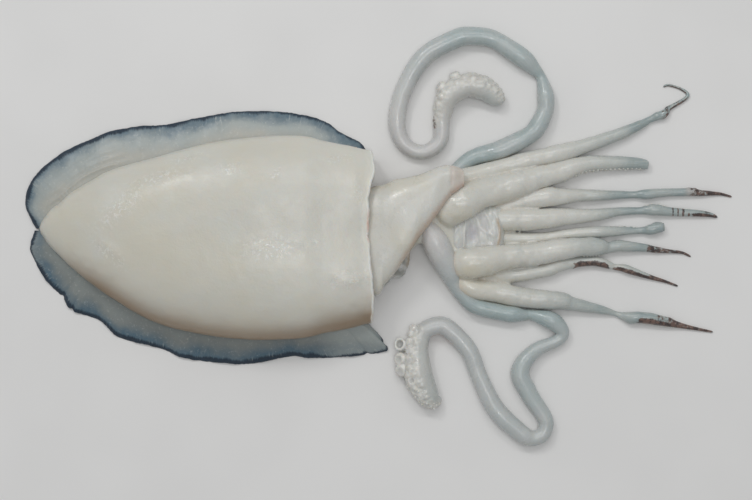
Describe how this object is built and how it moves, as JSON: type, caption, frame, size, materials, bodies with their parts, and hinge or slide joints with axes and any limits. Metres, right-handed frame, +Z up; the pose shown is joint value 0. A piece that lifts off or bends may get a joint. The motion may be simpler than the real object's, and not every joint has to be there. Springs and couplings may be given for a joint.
{
  "type": "whole raw cuttlefish",
  "caption": "Whole raw skinned cuttlefish lying belly up: broad oval mantle with side fins, funnel, fanned arms and long tentacles with suckered clubs laid in loops.",
  "frame": {"origin": "on the surface the animal lies on, under the middle of its outline", "axes": "+X from the tail of the mantle towards the tips of the arms, +Z up out of the belly side, which faces up; +Y towards the side of the tentacle whose club lies in its own loop"},
  "size_m": [0.3887, 0.2299, 0.0369],
  "materials": {
    "raw_flesh": "wet, softly glossy"
  },
  "bodies": {
    "root": {"cuttlefish": "raw_flesh"}
  },
  "joints": []
}
